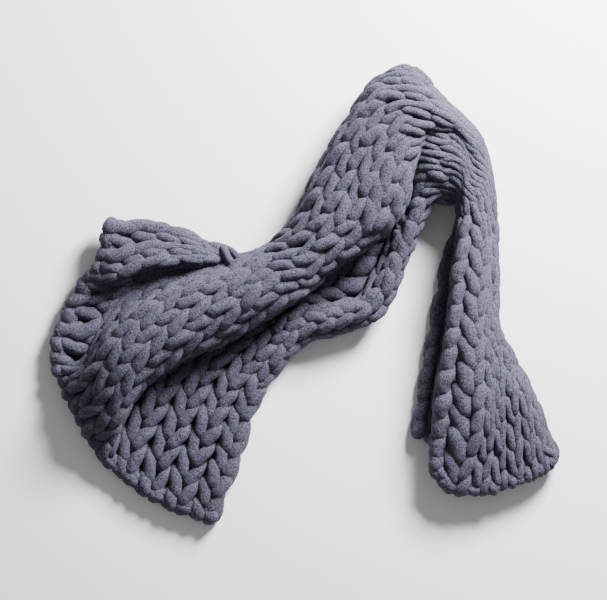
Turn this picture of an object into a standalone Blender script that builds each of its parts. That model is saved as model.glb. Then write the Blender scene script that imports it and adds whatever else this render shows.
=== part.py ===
"""A chunky knit throw in thick chenille yarn, lying loosely folded on the floor.

The cloth is one knitted panel. It opens into a fan at its cast-on edge, is gathered into a raised
roll and a high fold, turns over an arch at the top, and comes down again as a narrow panel. The
far part of the fold and of the narrow panel is turned under.
It is worked out from sections across the cloth, a row of a table for each. +X is right and +Y is up
as seen from above, and the floor is at z = 0.
"""

import bmesh
import bpy
import numpy as np

NAME = "blanket"
MM = 0.001

WALES = 14
COURSES = 41
THICKNESS = 26
FLAT_HEIGHT = 23
RIB_HEIGHT = 6
EDGE_ROUNDING = 3
LONGEST_TUCK = 50
STEPS_A_WALE = 8
STEPS_A_COURSE = 2
VOXEL = 6
KEPT_FACES = 0.155

YARN_COLOUR = (0.145, 0.135, 0.185, 1.0)
YARN_ROUGHNESS = 0.9

# The stitch column at each point of a section, from the near edge to the far edge, by course.
POINT_WALES = (
    (0, 0, 1.2, 2.75, 3.7, 4.7, 6.2, 7.5, 9.0, 11.0, 12.5, 14),
    (3, 0, 1.4, 3.1, 4.3, 4.9, 6.2, 7.5, 8.5, 10.6, 11.7, 14),
    (8, 0, 1.0, 2.1, 2.9, 3.8, 5.3, 6.8, 8.0, 10.0, 11.0, 14),
    (12, 0, 1.0, 1.9, 2.4, 3.4, 4.6, 5.1, 6.1, 7.0, 10.0, 14),
    (14, 0, 1.1, 2.2, 2.9, 4.0, 5.2, 5.7, 6.7, 7.6, 10.3, 14),
    (19, 0, 1.0, 2.1, 2.7, 3.9, 5.4, 6.1, 7.3, 8.2, 10.6, 14),
    (22, 0, 0.9, 1.8, 2.2, 3.2, 4.9, 6.1, 7.4, 8.4, 10.7, 14),
    (23.6, 0, 1.3, 2.4, 3.2, 3.9, 5.3, 6.5, 7.9, 9.0, 11.0, 14),
    (24.6, 0, 1.8, 3.8, 5.2, 5.7, 6.7, 7.4, 8.8, 9.9, 11.5, 14),
    (25.6, 0, 2.0, 4.2, 5.8, 6.2, 6.8, 7.4, 8.8, 10.2, 12.0, 14),
    (26.8, 0, 1.9, 3.8, 5.3, 5.5, 5.9, 6.4, 7.8, 9.2, 11.3, 14),
    (28, 0, 1.0, 2.1, 3.3, 3.6, 4.1, 4.6, 5.8, 7.0, 9.5, 14),
    (30, 0, 0.9, 2.15, 3.0, 3.2, 3.6, 4.2, 5.0, 6.0, 8.5, 14),
    (34, 0, 0.9, 2.2, 3.05, 3.3, 3.9, 4.6, 5.5, 6.4, 8.8, 14),
    (36, 0, 0.9, 2.2, 3.1, 3.4, 4.1, 5.0, 6.0, 6.9, 9.2, 14),
    (38, 0, 0.9, 2.2, 3.2, 3.7, 5.0, 6.6, 7.7, 8.6, 10.6, 14),
    (41, 0, 0.9, 2.0, 3.0, 4.2, 5.6, 7.0, 8.2, 9.2, 10.6, 14),
)

# The two ends, in millimetres: x, y and the height of the upper face at each point of the section.
CAST_ON_EDGE = (
    (-132, -345, 23),
    (-186, -338, 23),
    (-248, -310, 23),
    (-279, -279, 23),
    (-312, -249, 23),
    (-350, -195, 23),
    (-372, -142, 23),
    (-386, -78, 23),
    (-358, 4, 25),
    (-318, 56, 38),
    (-297, 119, 50),
)
BOUND_OFF_EDGE = (
    (168, -210, 24),
    (190, -218, 22),
    (190, -270, 42),
    (220, -315, 36),
    (266, -315, 36),
    (310, -302, 35),
    (346, -293, 34),
    (367, -278, 34),
    (385, -260, 31),
    (392, -243, 24),
    (358, -245, 4),
)

# Sections where the cloth lies spread, in millimetres. The roll stands between its crevice and its
# foot, and the far edge is raised as a flap beyond a recess.
# course, near edge x, y, crevice x, y, roll's foot x, y, far edge x, y, strip, roll, recess, flap height
SPREAD_SECTIONS = (
    (2, -112, -296, -281, -196, -339, -102, -247, 121, 26, 72, 25, 60),
    (4, -94, -248, -243, -132, -296, -45, -196, 108, 28, 96, 25, 64),
    (6, -80, -196, -180, -88, -232, 6, -148, 86, 32, 102, 29, 62),
    (8, -59, -147, -118, -60, -165, 34, -110, 68, 38, 104, 40, 54),
)

# Sections where the far part is folded under, in millimetres. The high fold stands between its
# crevice and its brow, which is the outline there, and its lip hangs over the hollow beside it. The
# places of the strip and the valley are parts of the way from the near edge to the crevice, and the
# lip's place is a part of the way from the crevice to the brow.
# course, near edge x, y, height, strip height and place, valley's place, crevice x, y, height,
# brow x, y, fold height, lip's place
FOLDED_SECTIONS = (
    (12, 15, -69, 26, 50, 0.40, 0.78, -20, 0, 30, -57, 78, 106, -0.06),
    (14, 63, -57, 27, 58, 0.36, 0.68, 15, 26, 25, -30, 100, 108, -0.07),
    (16, 111, -36, 30, 60, 0.28, 0.55, 44, 52, 24, -12, 124, 112, -0.07),
    (19, 152, 27, 34, 64, 0.36, 0.70, 96, 86, 27, 10, 171, 118, -0.06),
    (22, 174, 104, 44, 74, 0.40, 0.82, 148, 142, 50, 62, 264, 124, -0.04),
    (23.6, 195, 136, 50, 82, 0.35, 0.75, 165, 202, 84, 112, 328, 128, 0.02),
    (24.6, 210, 141, 55, 86, 0.3, 0.7, 188, 248, 104, 154, 348, 130, 0.06),
    (25.6, 221, 141, 57, 88, 0.3, 0.7, 218, 252, 104, 213, 295, 116, 0.12),
    (26.8, 231, 135, 56, 84, 0.3, 0.7, 249, 207, 96, 267, 236, 100, 0.14),
    (28, 230, 123, 42, 62, 0.12, 0.3, 264, 147, 90, 284, 168, 78, 0.14),
    (30, 223, 70, 26, 25, 0.16, 0.12, 268, 77, 88, 290, 99, 70, 0.14),
    (34, 203, -33, 25, 22, 0.26, 0.21, 262, -48, 86, 292, -30, 62, 0.14),
    (36, 191, -86, 25, 22, 0.28, 0.23, 262, -113, 80, 315, -88, 58, 0.14),
    (38, 180, -138, 24, 22, 0.28, 0.23, 262, -178, 70, 348, -150, 56, 0.14),
)


def between(start, end, part):
    """The point this part of the way from start to end."""
    return start + (end - start) * part


def point(plan, height):
    return (plan[0], plan[1], height)


def near_points(near, crevice, strip_at, strip, valley_at, valley, foot):
    """The upper face from the strip along the near edge to the crevice."""
    return [
        point(between(near, crevice, strip_at), strip),
        point(between(near, crevice, valley_at), valley),
        point(crevice, foot),
    ]


def spread_section(row):
    """The course and the points of a section with the roll, the recess and the flap."""
    course = row[0]
    near, crevice, foot, far = np.reshape(row[1:9], (4, 2)).astype(float)
    strip, roll, recess, flap = row[9:]
    points = [point(near, FLAT_HEIGHT)]
    points += near_points(near, crevice, 0.33, strip, 0.73, FLAT_HEIGHT, FLAT_HEIGHT + 3)
    points += [
        point(between(crevice, foot, -0.04), 0.62 * roll),
        point(between(crevice, foot, 0.4), roll),
        point(between(crevice, foot, 0.88), 0.84 * roll),
        point(foot, recess + 5),
        point(between(foot, far, 0.48), recess),
        point(between(foot, far, 0.62), 0.95 * flap),
        point(far, 0.6 * flap),
    ]
    return course, points


def folded_section(row):
    """The course and the points of a section whose far part turns under the fold at its brow."""
    course, near_x, near_y, near_height, strip, strip_at, valley_at = row[:7]
    crevice_x, crevice_y, valley, brow_x, brow_y, height, lip_at = row[7:]
    near = np.array([near_x, near_y], float)
    crevice = np.array([crevice_x, crevice_y], float)
    brow = np.array([brow_x, brow_y], float)
    width = np.linalg.norm(crevice - brow)
    inward = (near - brow) / np.linalg.norm(near - brow)
    shoulder_inset = min(0.42 * height, 0.45 * width)
    side_inset = min(0.1 * height, 0.12 * width)
    tuck = min(0.45 * np.linalg.norm(near - brow), LONGEST_TUCK)
    points = [point(near, near_height)]
    points += near_points(near, crevice, strip_at, strip, valley_at, valley, between(valley, height, 0.05))
    points += [
        point(between(crevice, brow, lip_at), between(valley, height, 0.6)),
        point(between(crevice, brow, 0.36), height),
        point(brow + shoulder_inset * inward, 0.93 * height),
        point(brow + side_inset * inward, 0.7 * height),
        point(brow, 0.42 * height),
        point(brow + 0.3 * tuck * inward, 0.1 * height),
        point(brow + tuck * inward, 0),
    ]
    return course, points


def sections():
    """The courses and the points of all sections, from the cast-on edge to the bound-off edge."""
    rows = [(0, CAST_ON_EDGE)]
    rows += [spread_section(row) for row in SPREAD_SECTIONS]
    rows += [folded_section(row) for row in FOLDED_SECTIONS]
    rows += [(COURSES, BOUND_OFF_EDGE)]
    courses = np.array([row[0] for row in rows], float)
    points = np.array([row[1] for row in rows], float)
    return courses, points


def smooth_curve(at, values, wanted):
    """A smooth curve through values that doesn't overshoot them, read at the wanted places."""
    at = np.asarray(at, float)
    gaps = np.diff(at).reshape(-1, *[1] * (values.ndim - 1))
    rises = np.diff(values, axis=0) / gaps
    before, after = rises[:-1], rises[1:]
    same_way = before * after > 0
    summed = np.where(same_way, before + after, 1.0)
    middle = np.where(same_way, 2 * before * after / summed, 0.0)
    slopes = np.concatenate([rises[:1], middle, rises[-1:]])
    span = np.clip(np.searchsorted(at, wanted, side="right") - 1, 0, len(at) - 2)
    gap = gaps[span]
    part = (wanted - at[span]).reshape(gap.shape) / gap
    start, end = values[span], values[span + 1]
    bend = (1 - part) * slopes[span] - part * slopes[span + 1]
    twist = (1 - 2 * part) * (end - start) / gap
    return between(start, end, part) + gap * part * (1 - part) * (bend - twist)


def ribs(wales):
    """How far the two legs of each stitch column stand up, as a part of the rib's height."""
    return np.abs(np.sin(2 * np.pi * wales)) - 0.5


def upper_face():
    """The upper face of the cloth as a grid of points, courses by wales, in millimetres."""
    courses, points = sections()
    course_steps = np.linspace(0, COURSES, COURSES * STEPS_A_COURSE + 1)
    wale_steps = np.linspace(0, WALES, WALES * STEPS_A_WALE + 1)
    mapped = np.array(POINT_WALES, float)
    lengthwise = smooth_curve(courses, points, course_steps)
    wales = smooth_curve(mapped[:, 0], mapped[:, 1:], course_steps)
    pairs = zip(lengthwise, wales)
    face = np.array([smooth_curve(line_wales, line, wale_steps) for line, line_wales in pairs])
    normals = np.cross(np.gradient(face, axis=0), np.gradient(face, axis=1))
    normals /= np.linalg.norm(normals, axis=2, keepdims=True)
    lift = np.broadcast_to(RIB_HEIGHT * ribs(wale_steps), face.shape[:2]).copy()
    for border in (lift[0], lift[-1], lift[:, 0], lift[:, -1]):
        border[:] = -EDGE_ROUNDING
    return face + lift[..., None] * normals


def grid_mesh(points):
    """An open mesh of four-sided faces on a grid of points in millimetres."""
    mesh = bpy.data.meshes.new(NAME)
    shape = bmesh.new()
    rows = [[shape.verts.new(place * MM) for place in line] for line in points]
    for line, following in zip(rows[:-1], rows[1:]):
        for j in range(len(line) - 1):
            shape.faces.new((line[j], following[j], following[j + 1], line[j + 1]))
    shape.to_mesh(mesh)
    shape.free()
    return mesh


def floor_cutter():
    """A block below the floor, which cuts the pressed underside flat."""
    bpy.ops.mesh.primitive_cube_add(size=2)
    cutter = bpy.context.object
    cutter.name = "below_floor"
    cutter.location = (0, 0, -1)
    cutter.hide_render = True
    cutter.display_type = "WIRE"
    cutters = bpy.data.collections.new("cutters")
    bpy.context.scene.collection.children.link(cutters)
    for home in list(cutter.users_collection):
        home.objects.unlink(cutter)
    cutters.objects.link(cutter)
    return cutter


def skins(shape):
    """The separate surfaces of a mesh, each as a set of its vertices."""
    left = set(shape.verts)
    found = []
    while left:
        skin = set()
        waiting = [left.pop()]
        while waiting:
            vertex = waiting.pop()
            skin.add(vertex)
            beside = {edge.other_vert(vertex) for edge in vertex.link_edges} & left
            left -= beside
            waiting.extend(beside)
        found.append(skin)
    return found


def fuse_folds(sheet):
    """Gives the sheet its thickness and fuses what its inner folds press together, pockets included."""
    shell = sheet.modifiers.new("thickness", "SOLIDIFY")
    shell.thickness = THICKNESS * MM
    shell.offset = -1
    fused = sheet.modifiers.new("pressed_folds", "REMESH")
    fused.mode = "VOXEL"
    fused.voxel_size = VOXEL * MM
    graph = bpy.context.evaluated_depsgraph_get()
    mesh = bpy.data.meshes.new_from_object(sheet.evaluated_get(graph))
    sheet.modifiers.clear()
    shape = bmesh.new()
    shape.from_mesh(mesh)
    _, *pockets = sorted(skins(shape), key=len, reverse=True)
    bmesh.ops.delete(shape, geom=[vertex for pocket in pockets for vertex in pocket], context="VERTS")
    shape.to_mesh(mesh)
    shape.free()
    mesh.shade_smooth()
    sheet.data = mesh


def lay_flat(sheet, cutter):
    """Thins out the faces and cuts the pressed underside flat."""
    fewer = sheet.modifiers.new("fewer_faces", "DECIMATE")
    fewer.ratio = KEPT_FACES
    flat = sheet.modifiers.new("flat_on_floor", "BOOLEAN")
    flat.operation = "DIFFERENCE"
    flat.object = cutter


def centre(sheet):
    """Moves the finished cloth so that its box is centred over the origin."""
    graph = bpy.context.evaluated_depsgraph_get()
    corners = np.array([corner[:] for corner in sheet.evaluated_get(graph).bound_box])
    middle = (corners.min(axis=0) + corners.max(axis=0)) / 2
    sheet.location = (-middle[0], -middle[1], 0)


def yarn_material():
    material = bpy.data.materials.new("chenille_yarn")
    material.use_nodes = True
    shader = material.node_tree.nodes["Principled BSDF"]
    shader.inputs["Base Color"].default_value = YARN_COLOUR
    shader.inputs["Roughness"].default_value = YARN_ROUGHNESS
    shader.inputs["Metallic"].default_value = 0.0
    return material


def main():
    for thing in list(bpy.data.objects):
        bpy.data.objects.remove(thing)
    collection = bpy.data.collections.new("chunky_knit_blanket")
    bpy.context.scene.collection.children.link(collection)
    mesh = grid_mesh(upper_face())
    mesh.materials.append(yarn_material())
    sheet = bpy.data.objects.new(NAME, mesh)
    collection.objects.link(sheet)
    fuse_folds(sheet)
    lay_flat(sheet, floor_cutter())
    centre(sheet)


main()
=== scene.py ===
"""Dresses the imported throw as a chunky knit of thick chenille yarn, loop by loop.

The yarn runs back and forth across the cloth, one row of loops after another, on the same folded
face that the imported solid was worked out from. Millimetres here, metres in the meshes.
"""

import bpy
import numpy as np
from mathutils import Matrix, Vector


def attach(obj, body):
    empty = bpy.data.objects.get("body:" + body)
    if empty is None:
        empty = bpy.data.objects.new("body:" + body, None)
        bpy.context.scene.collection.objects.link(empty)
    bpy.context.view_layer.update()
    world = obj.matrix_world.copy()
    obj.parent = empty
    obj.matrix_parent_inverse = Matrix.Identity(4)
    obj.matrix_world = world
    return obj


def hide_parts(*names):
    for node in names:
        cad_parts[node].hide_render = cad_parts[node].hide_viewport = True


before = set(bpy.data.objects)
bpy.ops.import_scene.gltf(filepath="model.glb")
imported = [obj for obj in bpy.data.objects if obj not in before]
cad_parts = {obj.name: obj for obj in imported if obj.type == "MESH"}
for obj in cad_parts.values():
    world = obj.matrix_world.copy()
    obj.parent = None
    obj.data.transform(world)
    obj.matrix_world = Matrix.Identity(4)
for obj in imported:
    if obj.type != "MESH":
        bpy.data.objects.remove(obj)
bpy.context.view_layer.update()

MM = 0.001
NODE = "blanket"

# How far the source moves the cloth to stand over the origin, in millimetres.
TO_CENTRE = (-3.9, -3.1, 0.0)

# The folded face, as in the source. Wales are stitch columns, and courses are steps along the cloth.
WALES = 14
COURSES = 41
FLAT_HEIGHT = 23
LONGEST_TUCK = 50
STEPS_A_WALE = 12
STEPS_A_COURSE = 6

# In how many steps the length of a section is measured.
FINE_STEPS = 560

# How far each stitch column's courses are evened out, from 0 to 1.
EVENNESS = 0.95

# How many times the face is smoothed across the cloth.
SOFTENING = 10

# The edges curl under: how far inside the edge the curl starts, in wales and in courses, how much of
# the outermost wale lies on it, and its radius, the number of its steps and their length, in
# millimetres.
INSET_WALE = 0.37
INSET_COURSE = 0.62
CURLED_WALE = 0.35
CURL_RADIUS = 14.0
CURL_STEPS = 9
CURL_STEP = 4.2

# The rows of loops, which are spaced evenly from the first row's course to as far beyond the other
# end. Lengths across are in wales and lengths along are in courses.
ROWS = 36
FIRST_ROW_COURSE = -0.2
LOOP_REACH = 1.3
LOOP_LEAN = 0.21
LEG_STAGGER = 0.18
TURN_OVERSHOOT = 0.3
STEPS_A_LOOP = 48
STEPS_A_TURN = 16
YARN_SIDES = 14

# How much the legs usually differ: as parts of the lean and of the reach, then in wales across, in
# courses along and as a part of the depth.
UNEVEN_LEAN = 0.1
UNEVEN_REACH = 0.05
UNEVEN_ACROSS = 0.025
UNEVEN_ALONG = 0.08
UNEVEN_DEPTH = 0.07
SEED = 7

# The strand along the cast-on edge and along the bound-off edge: how far it lies beyond the edge, how
# much it sways, and how deep it dips and how briefly between the legs.
STRAND_OUT = 0.35
STRAND_SWAY = 0.08
STRAND_DIP = 0.5
DIP_POWER = 6
STEPS_A_LINK = 32

# Each leg dives steeply at its front end, and more gently at its other end, which the next row covers.
# In radians of the loop, counted from the middle of the leg: where each dive starts and how long it is.
FRONT_DIVE_START = 0.40
FRONT_DIVE = 0.60
TUCK_DIVE_START = 0.15
TUCK_DIVE = 0.80

# The front end is the one nearest the viewer's feet, so it changes over between these two courses.
ARCH_START = 24.0
ARCH_END = 28.0

# The yarn, in millimetres: its radius, how far it stands out of the face, how deep it dives, how far its
# pile stands up, and the height below which the floor presses it flat.
YARN_RADIUS = 10.0
PROUD = 5.0
LOOP_DEPTH = 20.0
PILE_HEIGHT = 0.5
FLOOR_SOFTNESS = 4.0

# The part of its radius that the yarn loses in a dive. It is also slimmer where a wale is narrower than
# the relaxed one, and fuller where it is wider than the wide one, down to and up to these parts.
THINNING = 0.25
RELAXED_WALE = 38.0
SLIMMEST = 0.6
WIDE_WALE = 45.0
FULLEST = 1.5

# Dives are shallower where the wales are squeezed. The part of its depth that a dive keeps is a gain
# times the wale's width against the relaxed one, less a loss, less a further loss around the arch's
# middle course, and at least the last of these numbers.
SQUEEZE_GAIN = 1.6
SQUEEZE_LOSS = 0.1
ARCH_LOSS = 0.7
ARCH_MIDDLE = 25.5
ARCH_SPREAD = 2.0
FLATTEST = 0.12

# How many pieces the yarn is made in, each a stretch of rows.
PIECES = 4

# The chenille: how fine the noise is for its pile, its clumps and its slow changes of shade, the
# colours of its specks and of its tips, the pile noise where one ends and the other starts, how much
# the shade changes, and its bump and surface.
PILE_NOISE = 520.0
CLUMP_NOISE = 150.0
SHADE_NOISE = 12.0
SPECK_COLOUR = (0.026, 0.023, 0.036, 1.0)
TIP_COLOUR = (0.105, 0.096, 0.145, 1.0)
SPECK_END = 0.40
TIP_START = 0.56
SHADE_CHANGE = 0.35
BUMP_STRENGTH = 0.9
BUMP_METRES = 0.0016
YARN_ROUGHNESS = 0.95
SHEEN_COLOUR = (0.80, 0.78, 0.95, 1.0)

# The stage, in metres and watts. The top of the floor lies just under the cloth.
FLOOR_SIZE = 12.0
FLOOR_DROP = 0.0005
FLOOR_COLOUR = (0.96, 0.96, 0.96, 1.0)
FLOOR_ROUGHNESS = 0.9
SKY_COLOUR = (1.0, 1.0, 1.0, 1.0)
SKY_STRENGTH = 0.30
KEY_PLACE = (0.9, 1.25, 1.0)
KEY_SIZE = 0.6
KEY_POWER = 200.0

# The stitch column at each point of a section, from the near edge to the far edge, by course.
POINT_WALES = (
    (0, 0, 1.2, 2.75, 3.7, 4.7, 6.2, 7.5, 9.0, 11.0, 12.5, 14),
    (3, 0, 1.4, 3.1, 4.3, 4.9, 6.2, 7.5, 8.5, 10.6, 11.7, 14),
    (8, 0, 1.0, 2.1, 2.9, 3.8, 5.3, 6.8, 8.0, 10.0, 11.0, 14),
    (12, 0, 1.0, 1.9, 2.4, 3.4, 4.6, 5.1, 6.1, 7.0, 10.0, 14),
    (14, 0, 1.1, 2.2, 2.9, 4.0, 5.2, 5.7, 6.7, 7.6, 10.3, 14),
    (19, 0, 1.0, 2.1, 2.7, 3.9, 5.4, 6.1, 7.3, 8.2, 10.6, 14),
    (22, 0, 0.9, 1.8, 2.2, 3.2, 4.9, 6.1, 7.4, 8.4, 10.7, 14),
    (23.6, 0, 1.3, 2.4, 3.2, 3.9, 5.3, 6.5, 7.9, 9.0, 11.0, 14),
    (24.6, 0, 1.8, 3.8, 5.2, 5.7, 6.7, 7.4, 8.8, 9.9, 11.5, 14),
    (25.6, 0, 2.0, 4.2, 5.8, 6.2, 6.8, 7.4, 8.8, 10.2, 12.0, 14),
    (26.8, 0, 1.9, 3.8, 5.3, 5.5, 5.9, 6.4, 7.8, 9.2, 11.3, 14),
    (28, 0, 1.0, 2.1, 3.3, 3.6, 4.1, 4.6, 5.8, 7.0, 9.5, 14),
    (30, 0, 0.9, 2.15, 3.0, 3.2, 3.6, 4.2, 5.0, 6.0, 8.5, 14),
    (34, 0, 0.9, 2.2, 3.05, 3.3, 3.9, 4.6, 5.5, 6.4, 8.8, 14),
    (36, 0, 0.9, 2.2, 3.1, 3.4, 4.1, 5.0, 6.0, 6.9, 9.2, 14),
    (38, 0, 0.9, 2.2, 3.2, 3.7, 5.0, 6.6, 7.7, 8.6, 10.6, 14),
    (41, 0, 0.9, 2.0, 3.0, 4.2, 5.6, 7.0, 8.2, 9.2, 10.6, 14),
)

# The two ends, in millimetres: x, y and the height of the upper face at each point of the section.
CAST_ON_EDGE = (
    (-132, -345, 23),
    (-186, -338, 23),
    (-248, -310, 23),
    (-279, -279, 23),
    (-312, -249, 23),
    (-350, -195, 23),
    (-372, -142, 23),
    (-386, -78, 23),
    (-358, 4, 25),
    (-318, 56, 38),
    (-297, 119, 50),
)
BOUND_OFF_EDGE = (
    (168, -210, 24),
    (190, -218, 22),
    (190, -270, 42),
    (220, -315, 36),
    (266, -315, 36),
    (310, -302, 35),
    (346, -293, 34),
    (367, -278, 34),
    (385, -260, 31),
    (392, -243, 24),
    (358, -245, 4),
)

# Sections where the cloth lies spread, in millimetres. The roll stands between its crevice and its
# foot, and the far edge is raised as a flap beyond a recess.
# course, near edge x, y, crevice x, y, roll's foot x, y, far edge x, y, strip, roll, recess, flap height
SPREAD_SECTIONS = (
    (2, -112, -296, -281, -196, -339, -102, -247, 121, 26, 72, 25, 60),
    (4, -94, -248, -243, -132, -296, -45, -196, 108, 28, 96, 25, 64),
    (6, -80, -196, -180, -88, -232, 6, -148, 86, 32, 102, 29, 62),
    (8, -59, -147, -118, -60, -165, 34, -110, 68, 38, 104, 40, 54),
)

# Sections where the far part is folded under, in millimetres. The high fold stands between its
# crevice and its brow, which is the outline there, and its lip hangs over the hollow beside it. The
# places of the strip and the valley are parts of the way from the near edge to the crevice, and the
# lip's place is a part of the way from the crevice to the brow.
# course, near edge x, y, height, strip height and place, valley's place, crevice x, y, height,
# brow x, y, fold height, lip's place
FOLDED_SECTIONS = (
    (12, 15, -69, 26, 50, 0.40, 0.78, -20, 0, 30, -57, 78, 106, -0.06),
    (14, 63, -57, 27, 58, 0.36, 0.68, 15, 26, 25, -30, 100, 108, -0.07),
    (16, 111, -36, 30, 60, 0.28, 0.55, 44, 52, 24, -12, 124, 112, -0.07),
    (19, 152, 27, 34, 64, 0.36, 0.70, 96, 86, 27, 10, 171, 118, -0.06),
    (22, 174, 104, 44, 74, 0.40, 0.82, 148, 142, 50, 62, 264, 124, -0.04),
    (23.6, 195, 136, 50, 82, 0.35, 0.75, 165, 202, 84, 112, 328, 128, 0.02),
    (24.6, 210, 141, 55, 86, 0.3, 0.7, 188, 248, 104, 154, 348, 130, 0.06),
    (25.6, 221, 141, 57, 88, 0.3, 0.7, 218, 252, 104, 213, 295, 116, 0.12),
    (26.8, 231, 135, 56, 84, 0.3, 0.7, 249, 207, 96, 267, 236, 100, 0.14),
    (28, 230, 123, 42, 62, 0.12, 0.3, 264, 147, 90, 284, 168, 78, 0.14),
    (30, 223, 70, 26, 25, 0.16, 0.12, 268, 77, 88, 290, 99, 70, 0.14),
    (34, 203, -33, 25, 22, 0.26, 0.21, 262, -48, 86, 292, -30, 62, 0.14),
    (36, 191, -86, 25, 22, 0.28, 0.23, 262, -113, 80, 315, -88, 58, 0.14),
    (38, 180, -138, 24, 22, 0.28, 0.23, 262, -178, 70, 348, -150, 56, 0.14),
)

# The view from straight above, in millimetres: the photograph's width at the cloth and its middle, the
# height where that width holds, and the height of the camera.
VIEW_WIDTH = 910.5
VIEW_MIDDLE = (-0.75, -3.0)
VIEW_LEVEL = 60.0
CAMERA_HEIGHT = 5000.0
SENSOR = 36.0


def between(start, end, part):
    """The point this part of the way from start to end."""
    return start + (end - start) * part


def point(plan, height):
    """The point at this place in the plan and this height."""
    return (plan[0], plan[1], height)


def near_points(near, crevice, strip_at, strip, valley_at, valley, foot):
    """The upper face from the strip along the near edge to the crevice."""
    return [
        point(between(near, crevice, strip_at), strip),
        point(between(near, crevice, valley_at), valley),
        point(crevice, foot),
    ]


def spread_section(row):
    """The course and the points of a section with the roll, the recess and the flap."""
    course = row[0]
    near, crevice, foot, far = np.reshape(row[1:9], (4, 2)).astype(float)
    strip, roll, recess, flap = row[9:]
    points = [point(near, FLAT_HEIGHT)]
    points += near_points(near, crevice, 0.33, strip, 0.73, FLAT_HEIGHT, FLAT_HEIGHT + 3)
    points += [
        point(between(crevice, foot, -0.04), 0.62 * roll),
        point(between(crevice, foot, 0.4), roll),
        point(between(crevice, foot, 0.88), 0.84 * roll),
        point(foot, recess + 5),
        point(between(foot, far, 0.48), recess),
        point(between(foot, far, 0.62), 0.95 * flap),
        point(far, 0.6 * flap),
    ]
    return course, points


def folded_section(row):
    """The course and the points of a section whose far part turns under the fold at its brow."""
    course, near_x, near_y, near_height, strip, strip_at, valley_at = row[:7]
    crevice_x, crevice_y, valley, brow_x, brow_y, height, lip_at = row[7:]
    near = np.array([near_x, near_y], float)
    crevice = np.array([crevice_x, crevice_y], float)
    brow = np.array([brow_x, brow_y], float)
    width = np.linalg.norm(crevice - brow)
    inward = (near - brow) / np.linalg.norm(near - brow)
    shoulder_inset = min(0.42 * height, 0.45 * width)
    side_inset = min(0.1 * height, 0.12 * width)
    tuck = min(0.45 * np.linalg.norm(near - brow), LONGEST_TUCK)
    points = [point(near, near_height)]
    points += near_points(near, crevice, strip_at, strip, valley_at, valley, between(valley, height, 0.05))
    points += [
        point(between(crevice, brow, lip_at), between(valley, height, 0.6)),
        point(between(crevice, brow, 0.36), height),
        point(brow + shoulder_inset * inward, 0.93 * height),
        point(brow + side_inset * inward, 0.7 * height),
        point(brow, 0.42 * height),
        point(brow + 0.3 * tuck * inward, 0.1 * height),
        point(brow + tuck * inward, 0),
    ]
    return course, points


def sections():
    """The courses and the points of all sections, from the cast-on edge to the bound-off edge."""
    rows = [(0, CAST_ON_EDGE)]
    rows += [spread_section(row) for row in SPREAD_SECTIONS]
    rows += [folded_section(row) for row in FOLDED_SECTIONS]
    rows += [(COURSES, BOUND_OFF_EDGE)]
    courses = np.array([row[0] for row in rows], float)
    points = np.array([row[1] for row in rows], float)
    return courses, points + TO_CENTRE


def smooth_curve(at, values, wanted):
    """A smooth curve through values that doesn't overshoot them, read at the wanted places."""
    at = np.asarray(at, float)
    gaps = np.diff(at).reshape(-1, *[1] * (values.ndim - 1))
    rises = np.diff(values, axis=0) / gaps
    before, after = rises[:-1], rises[1:]
    same_way = before * after > 0
    summed = np.where(same_way, before + after, 1.0)
    middle = np.where(same_way, 2 * before * after / summed, 0.0)
    slopes = np.concatenate([rises[:1], middle, rises[-1:]])
    span = np.clip(np.searchsorted(at, wanted, side="right") - 1, 0, len(at) - 2)
    gap = gaps[span]
    part = (wanted - at[span]).reshape(gap.shape) / gap
    start, end = values[span], values[span + 1]
    bend = (1 - part) * slopes[span] - part * slopes[span + 1]
    twist = (1 - 2 * part) * (end - start) / gap
    return between(start, end, part) + gap * part * (1 - part) * (bend - twist)


def unit(vectors):
    """The vectors brought to a length of one."""
    return vectors / np.linalg.norm(vectors, axis=-1, keepdims=True)


def across_the_cloth(line, line_wales, wale_steps):
    """A section of the face, read at these wales, which lie evenly along it from one point to the next."""
    fine_wales = np.linspace(0, WALES, FINE_STEPS + 1)
    fine = smooth_curve(line_wales, line, fine_wales)
    run = np.concatenate([[0.0], np.cumsum(np.linalg.norm(np.diff(fine, axis=0), axis=1))])
    run_at_points = np.interp(line_wales, fine_wales, run)
    wanted = smooth_curve(line_wales, run_at_points, wale_steps)
    return np.stack([np.interp(wanted, run, fine[:, k]) for k in range(3)], axis=1)


def even_rows(face, steps):
    """Slides the points of each stitch column along it, so that its courses lie about evenly."""
    gaps = np.linalg.norm(np.diff(face, axis=0), axis=2)
    run = np.concatenate([np.zeros((1, face.shape[1])), np.cumsum(gaps, axis=0)])
    course = between(steps[:, None], between(steps[0], steps[-1], run / run[-1]), EVENNESS)
    evened = np.empty_like(face)
    for j in range(face.shape[1]):
        for k in range(3):
            evened[:, j, k] = np.interp(steps, course[:, j], face[:, j, k])
    return evened


def soften(face):
    """Rounds the sharp turns of the face across the cloth."""
    for _ in range(SOFTENING):
        face[:, 1:-1] = between(face[:, 1:-1], (face[:, :-2] + face[:, 2:]) / 2, 0.5)
    return face


def upper_face():
    """The cloth's upper face as grids, courses by wales: its points and its outward normals."""
    courses, points = sections()
    course_steps = np.linspace(INSET_COURSE, COURSES - INSET_COURSE, COURSES * STEPS_A_COURSE + 1)
    wale_steps = np.linspace(INSET_WALE, WALES - INSET_WALE, WALES * STEPS_A_WALE + 1)
    mapped = np.array(POINT_WALES, float)
    lengthwise = smooth_curve(courses, points, course_steps)
    wales = smooth_curve(mapped[:, 0], mapped[:, 1:], course_steps)
    pairs = zip(lengthwise, wales)
    face = np.array([across_the_cloth(line, line_wales, wale_steps) for line, line_wales in pairs])
    face = soften(even_rows(face, course_steps))
    normals = unit(np.cross(np.gradient(face, axis=0), np.gradient(face, axis=1)))
    return face, normals


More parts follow.
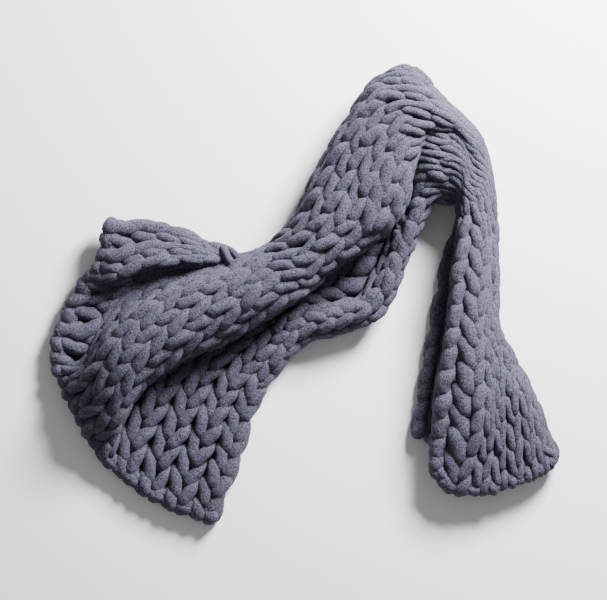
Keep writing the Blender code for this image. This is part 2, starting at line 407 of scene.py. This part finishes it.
def curl(face, normals):
    """Adds a strip beyond the grid's first line, which curls round and under."""
    out = unit(face[0] - face[1])
    out = unit(out - (out * normals[0]).sum(axis=-1, keepdims=True) * normals[0])
    angle = np.arange(CURL_STEPS, 0, -1) * CURL_STEP / CURL_RADIUS
    sine, cosine = np.sin(angle)[:, None, None], np.cos(angle)[:, None, None]
    strip = face[0] + CURL_RADIUS * (sine * out - (1 - cosine) * normals[0])
    turned = cosine * normals[0] + sine * out
    return np.concatenate([strip, face]), np.concatenate([turned, normals])


def curl_all_edges(face, normals):
    """Adds the curled strips along all four edges."""
    for _ in range(2):
        face, normals = curl(face, normals)
        face, normals = curl(face[::-1], normals[::-1])
        face, normals = face[::-1].swapaxes(0, 1), normals[::-1].swapaxes(0, 1)
    return face, normals


def read_grid(grid, courses, wales):
    """The grid's value at each place."""
    along = courses * STEPS_A_COURSE + CURL_STEPS
    across = wales * STEPS_A_WALE + CURL_STEPS
    row = np.clip(np.floor(along).astype(int), 0, grid.shape[0] - 2)
    column = np.clip(np.floor(across).astype(int), 0, grid.shape[1] - 2)
    u, v = (along - row)[:, None], (across - column)[:, None]
    low = between(grid[row, column], grid[row, column + 1], v)
    high = between(grid[row + 1, column], grid[row + 1, column + 1], v)
    return between(low, high, u)


def row_course(row):
    """The course of the middle of a row of loops."""
    return between(FIRST_ROW_COURSE, COURSES - FIRST_ROW_COURSE, row / (ROWS - 1))


def smooth_step(part):
    """Eases from 0 to 1 as part goes from 0 to 1."""
    part = np.clip(part, 0, 1)
    return part * part * (3 - 2 * part)


def leg_depth(phase):
    """How deep the yarn lies along a leg, from its front end at 0 to its tucked end at pi."""
    from_middle = phase - np.pi / 2
    front = smooth_step((-from_middle - FRONT_DIVE_START) / FRONT_DIVE)
    tucked = smooth_step((from_middle - TUCK_DIVE_START) / TUCK_DIVE)
    return front + tucked


def on_face(wale):
    """The wales of the face where these stitch columns lie, with the edges curled."""
    return (wale - CURLED_WALE) * WALES / (WALES - 2 * CURLED_WALE)


def loops_of_row(row, chance):
    """The courses, wales and depths along the yarn of one row of loops, from the near side."""
    turn = np.linspace(0, WALES, WALES * STEPS_A_LOOP + 1)
    angle = 2 * np.pi * (turn - 0.5)
    legs = (np.arange(2 * WALES) + 0.5) / 2
    uneven = chance.normal(size=(5, len(legs)))
    reach, lean, across, along, lift = (np.interp(turn, legs, line) for line in uneven)
    slant = LOOP_LEAN * (1 + UNEVEN_LEAN * lean) * np.sin(2 * angle)
    wale = turn + slant + UNEVEN_ACROSS * across
    stretch = LOOP_REACH * (1 + UNEVEN_REACH * reach) * np.cos(angle)
    stagger = -LEG_STAGGER * np.cos(2 * np.pi * (turn - 0.25))
    course = row_course(row) + stretch + stagger + UNEVEN_ALONG * along
    phase = np.arccos(np.clip(-np.cos(angle), -1, 1))
    turned = smooth_step((row_course(row) - ARCH_START) / (ARCH_END - ARCH_START))
    depth = between(leg_depth(phase), leg_depth(np.pi - phase), turned)
    return course, on_face(wale), depth + UNEVEN_DEPTH * lift


def turn_between(end, start):
    """The courses, wales and depths of the yarn's long turn at the side edge, up to the next row."""
    angle = np.linspace(0, np.pi, STEPS_A_TURN + 1)[1:-1]
    part = 0.5 * (1 - np.cos(angle)) - TURN_OVERSHOOT * np.sin(2 * angle)
    course, wale, depth = (between(a, b, part) for a, b in zip(end, start))
    return course, wale, depth * (1 - np.sin(angle))


def edge_strand(course, back):
    """The courses, wales and depths of the strand that finishes the cast-on or the bound-off edge."""
    turn = np.linspace(0, WALES, WALES * STEPS_A_LINK + 1)
    if back:
        turn = turn[::-1]
    sway = STRAND_SWAY * np.sin(2 * np.pi * turn)
    dip = STRAND_DIP * np.cos(2 * np.pi * turn) ** DIP_POWER
    return np.array([course + sway, on_face(turn), dip])


def yarn_route(chance):
    """The whole yarn as courses, wales and depths, and the first step of each row."""
    rows = [edge_strand(-STRAND_OUT, True)]
    for row in range(ROWS):
        path = np.array(loops_of_row(row, chance))
        rows.append(path[:, ::-1] if row % 2 else path)
    rows.append(edge_strand(COURSES + STRAND_OUT, ROWS % 2 == 1))
    route = []
    firsts = []
    steps = 0
    for path in rows:
        if route:
            turn = np.array(turn_between(route[-1][:, -1], path[:, 0]))
            route.append(turn)
            steps += turn.shape[1]
        firsts.append(steps)
        route.append(path)
        steps += path.shape[1]
    return np.concatenate(route, axis=1), firsts


def place_yarn(route, face, normals):
    """The yarn's centre line, its outward direction and its radius at each step."""
    course, wale, depth = route
    places = read_grid(face, course, wale)
    outward = unit(read_grid(normals, course, wale))
    widths = np.linalg.norm(np.gradient(face, axis=1), axis=2, keepdims=True) * STEPS_A_WALE
    width = read_grid(widths, course, wale)[:, 0]
    squeeze = width / RELAXED_WALE
    on_arch = np.exp(-((course - ARCH_MIDDLE) / ARCH_SPREAD) ** 2)
    depth = depth * np.clip(SQUEEZE_GAIN * squeeze - SQUEEZE_LOSS - ARCH_LOSS * on_arch, FLATTEST, 1.0)
    fullness = np.clip(squeeze, SLIMMEST, 1) * np.clip(width / WIDE_WALE, 1, FULLEST)
    radius = YARN_RADIUS * fullness * (1 - THINNING * depth)
    sunk = PROUD - radius - LOOP_DEPTH * depth
    return places + sunk[:, None] * outward, outward, radius


def above_floor(points):
    """Presses what would go below the floor flat against it."""
    height = points[..., 2]
    pressed = FLOOR_SOFTNESS * np.exp(np.minimum(height / FLOOR_SOFTNESS - 1, 0))
    points[..., 2] = np.where(height < FLOOR_SOFTNESS, pressed, height)
    return points


def tube(centres, outward, radius, chance):
    """The yarn's surface as a grid of points, steps by sides."""
    along = unit(np.gradient(centres, axis=0))
    side = unit(np.cross(along, outward))
    up = np.cross(side, along)
    angle = np.linspace(0, 2 * np.pi, YARN_SIDES, endpoint=False)
    ring = np.cos(angle)[None, :, None] * side[:, None] + np.sin(angle)[None, :, None] * up[:, None]
    lumps = chance.uniform(-1, 1, size=(len(centres), YARN_SIDES, 1)) * PILE_HEIGHT
    return above_floor(centres[:, None] + ring * (radius[:, None, None] + lumps))


def tube_mesh(name, surface):
    """A closed mesh of the tube, in metres."""
    steps, sides = surface.shape[:2]
    places = np.arange(steps * sides).reshape(steps, sides)
    following = np.roll(places, -1, axis=1)
    quads = np.stack([places[:-1], following[:-1], following[1:], places[1:]], axis=-1).reshape(-1, 4)
    faces = quads.tolist() + [places[0, ::-1].tolist(), places[-1].tolist()]
    mesh = bpy.data.meshes.new(name)
    mesh.from_pydata((surface.reshape(-1, 3) * MM).tolist(), [], faces)
    mesh.shade_smooth()
    return mesh


def yarn_material():
    """Matt chenille: short pile with fine dark specks and slow changes of shade."""
    material = bpy.data.materials.new("chenille_pile")
    material.use_nodes = True
    nodes, links = material.node_tree.nodes, material.node_tree.links
    shader = nodes["Principled BSDF"]
    where = nodes.new("ShaderNodeTexCoord")

    def noise(scale, roughness):
        """A noise of this fineness, fixed to the cloth."""
        node = nodes.new("ShaderNodeTexNoise")
        node.inputs["Scale"].default_value = scale
        node.inputs["Detail"].default_value = 2.0
        node.inputs["Roughness"].default_value = roughness
        links.new(where.outputs["Object"], node.inputs["Vector"])
        return node

    pile = noise(PILE_NOISE, 0.6)
    clumps = noise(CLUMP_NOISE, 0.5)
    shade = noise(SHADE_NOISE, 0.5)
    specks = nodes.new("ShaderNodeValToRGB")
    dark, light = specks.color_ramp.elements
    dark.position = SPECK_END
    dark.color = SPECK_COLOUR
    light.position = TIP_START
    light.color = TIP_COLOUR
    links.new(pile.outputs["Fac"], specks.inputs["Fac"])
    tint = nodes.new("ShaderNodeMix")
    tint.data_type = "RGBA"
    tint.blend_type = "MULTIPLY"
    tint.inputs["Factor"].default_value = SHADE_CHANGE
    links.new(specks.outputs["Color"], tint.inputs[6])
    links.new(shade.outputs["Fac"], tint.inputs[7])
    links.new(tint.outputs[2], shader.inputs["Base Color"])
    height = nodes.new("ShaderNodeMath")
    height.operation = "ADD"
    links.new(pile.outputs["Fac"], height.inputs[0])
    links.new(clumps.outputs["Fac"], height.inputs[1])
    bump = nodes.new("ShaderNodeBump")
    bump.inputs["Strength"].default_value = BUMP_STRENGTH
    bump.inputs["Distance"].default_value = BUMP_METRES
    links.new(height.outputs["Value"], bump.inputs["Height"])
    links.new(bump.outputs["Normal"], shader.inputs["Normal"])
    shader.inputs["Roughness"].default_value = YARN_ROUGHNESS
    shader.inputs["Specular IOR Level"].default_value = 0.15
    shader.inputs["Sheen Weight"].default_value = 0.05
    shader.inputs["Sheen Roughness"].default_value = 0.5
    shader.inputs["Sheen Tint"].default_value = SHEEN_COLOUR
    return material


def knit():
    """Makes the yarn in a few pieces, each a stretch of rows."""
    face, normals = curl_all_edges(*upper_face())
    chance = np.random.default_rng(SEED)
    route, firsts = yarn_route(chance)
    centres, outward, radius = place_yarn(route, face, normals)
    surface = tube(centres, outward, radius, chance)
    material = yarn_material()
    starts = [firsts[len(firsts) * k // PIECES] for k in range(PIECES)] + [len(surface)]
    for k in range(PIECES):
        name = f"knit_rows_{k + 1}"
        mesh = tube_mesh(name, surface[starts[k]:starts[k + 1] + 1])
        mesh.materials.append(material)
        piece = bpy.data.objects.new(name, mesh)
        bpy.context.scene.collection.objects.link(piece)
        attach(piece, "root")
        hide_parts(NODE)


def floor():
    """The plain pale floor under the cloth."""
    bpy.ops.mesh.primitive_plane_add(size=FLOOR_SIZE, location=(0, 0, -FLOOR_DROP))
    ground = bpy.context.object
    ground.name = "floor"
    material = bpy.data.materials.new("pale_floor")
    material.use_nodes = True
    shader = material.node_tree.nodes["Principled BSDF"]
    shader.inputs["Base Color"].default_value = FLOOR_COLOUR
    shader.inputs["Roughness"].default_value = FLOOR_ROUGHNESS
    ground.data.materials.append(material)


def sky():
    """Even light from all around."""
    world = bpy.data.worlds.new("studio")
    world.use_nodes = True
    background = world.node_tree.nodes["Background"]
    background.inputs["Color"].default_value = SKY_COLOUR
    background.inputs["Strength"].default_value = SKY_STRENGTH
    bpy.context.scene.world = world


def key_light():
    """The main light, from the upper right of the picture, turned towards the cloth."""
    data = bpy.data.lights.new("key", "AREA")
    data.size = KEY_SIZE
    data.energy = KEY_POWER
    light = bpy.data.objects.new("key", data)
    light.location = KEY_PLACE
    light.rotation_euler = (-Vector(KEY_PLACE)).to_track_quat("-Z", "Y").to_euler()
    bpy.context.scene.collection.objects.link(light)


def camera():
    """The camera straight above the cloth."""
    data = bpy.data.cameras.new("camera")
    data.sensor_fit = "HORIZONTAL"
    data.sensor_width = SENSOR
    data.lens = SENSOR * (CAMERA_HEIGHT - VIEW_LEVEL) / VIEW_WIDTH
    data.clip_end = 100.0
    eye = bpy.data.objects.new("camera", data)
    eye.location = (Vector((*VIEW_MIDDLE, CAMERA_HEIGHT)) + Vector(TO_CENTRE)) * MM
    bpy.context.scene.collection.objects.link(eye)
    bpy.context.scene.camera = eye


camera()
floor()
sky()
key_light()
knit()
